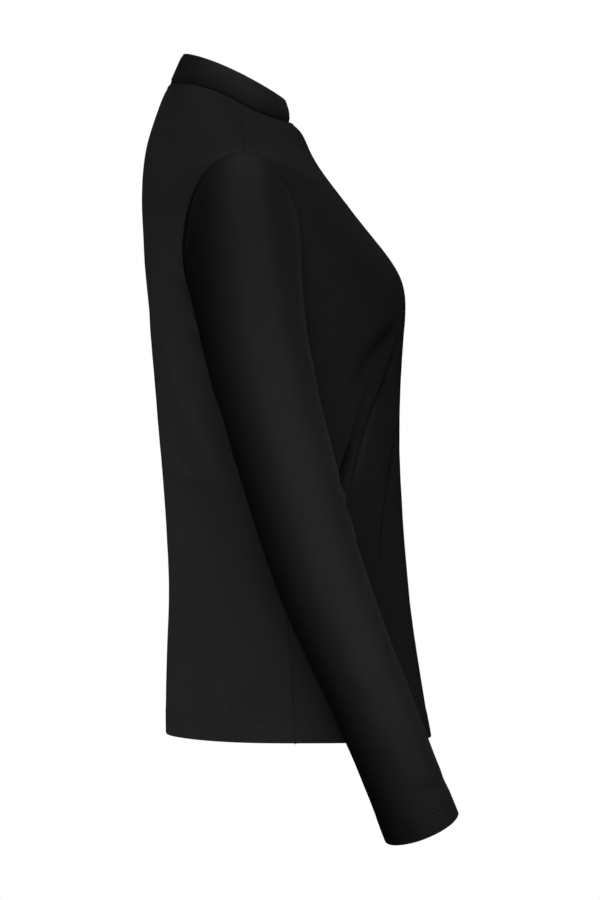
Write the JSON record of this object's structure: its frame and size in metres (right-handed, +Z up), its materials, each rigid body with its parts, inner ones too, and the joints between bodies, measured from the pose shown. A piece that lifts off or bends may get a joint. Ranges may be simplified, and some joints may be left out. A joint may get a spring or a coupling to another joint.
{
  "type": "long-sleeve mock-neck t-shirt",
  "caption": "Fitted long-sleeve top with a low stand collar, hollow and filled out as if worn, held up by the wearer's shoulders.",
  "frame": {"origin": "midway between the inner ends of the two shoulder seams, where the wearer's shoulders carry the top", "axes": "+Z up, towards the collar; the front faces -Y; the wearer's left is +X"},
  "size_m": [0.5326, 0.2886, 0.7212],
  "materials": {
    "jersey": "smooth black cotton-elastane jersey, matte with a faint sheen",
    "collar_jersey": "two layers of the same black jersey, folded at the top edge"
  },
  "bodies": {
    "root": {"front": "jersey", "back": "jersey", "sleeve_left": "jersey", "sleeve_right": "jersey", "collar": "collar_jersey"}
  },
  "joints": []
}
